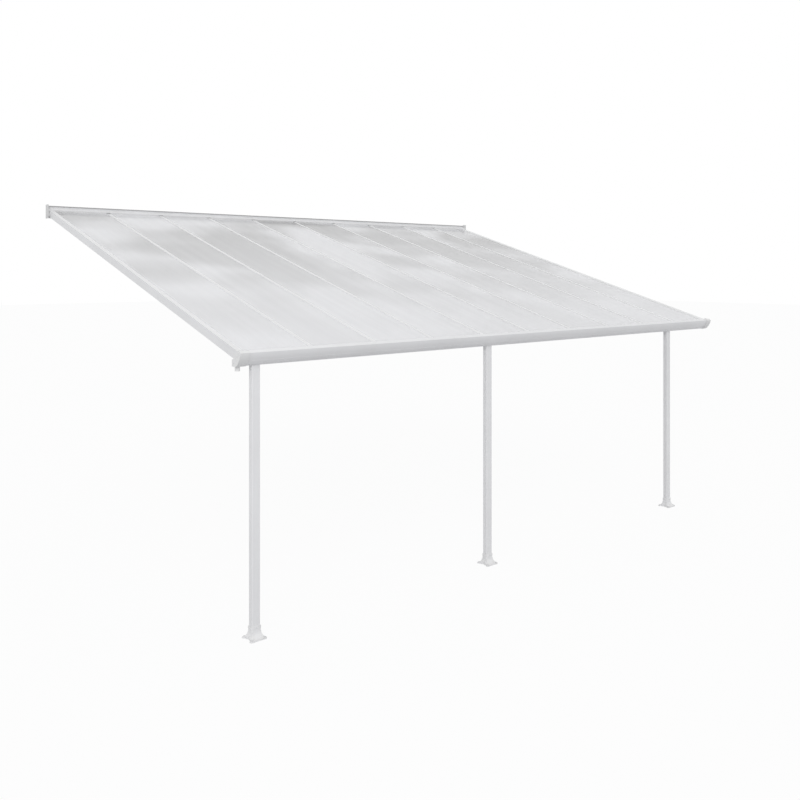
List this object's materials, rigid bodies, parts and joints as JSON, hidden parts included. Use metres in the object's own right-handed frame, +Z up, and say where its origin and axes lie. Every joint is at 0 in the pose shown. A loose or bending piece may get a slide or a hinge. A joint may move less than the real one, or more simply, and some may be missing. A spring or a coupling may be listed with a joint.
{
  "type": "patio cover",
  "caption": "White attached lean-to patio cover with twin-wall roof sheets on slim rafters, a wall profile, a front gutter with an outlet and square posts on flared feet.",
  "frame": {"origin": "middle of the flat back face of the wall profile, where it meets the wall", "axes": "+X along the wall to the right as seen from the garden, -Y away from the wall, +Z up"},
  "size_m": [6.152, 4.0671, 3.2904],
  "materials": {
    "white_profile": "satin",
    "white_foot": "satin",
    "white_cap": "satin",
    "twin_wall_sheet": "gloss"
  },
  "bodies": {
    "root": {"wall_profile": "white_profile", "wall_end_cap_left": "white_cap", "wall_end_cap_right": "white_cap", "side_rail_left": "white_profile", "side_rail_right": "white_profile", "rafter_1": "white_profile", "rafter_2": "white_profile", "rafter_3": "white_profile", "rafter_4": "white_profile", "rafter_5": "white_profile", "rafter_6": "white_profile", "rafter_7": "white_profile", "rafter_8": "white_profile", "rafter_9": "white_profile", "roof_panel_1": "twin_wall_sheet", "roof_panel_2": "twin_wall_sheet", "roof_panel_3": "twin_wall_sheet", "roof_panel_4": "twin_wall_sheet", "roof_panel_5": "twin_wall_sheet", "roof_panel_6": "twin_wall_sheet", "roof_panel_7": "twin_wall_sheet", "roof_panel_8": "twin_wall_sheet", "roof_panel_9": "twin_wall_sheet", "roof_panel_10": "twin_wall_sheet", "gutter": "white_profile", "gutter_end_cap_left": "white_cap", "gutter_end_cap_right": "white_cap", "post_left": "white_profile", "post_middle": "white_profile", "post_right": "white_profile", "post_head_left": "white_profile", "post_head_middle": "white_profile", "post_head_right": "white_profile", "foot_left": "white_foot", "foot_middle": "white_foot", "foot_right": "white_foot"}
  },
  "joints": []
}
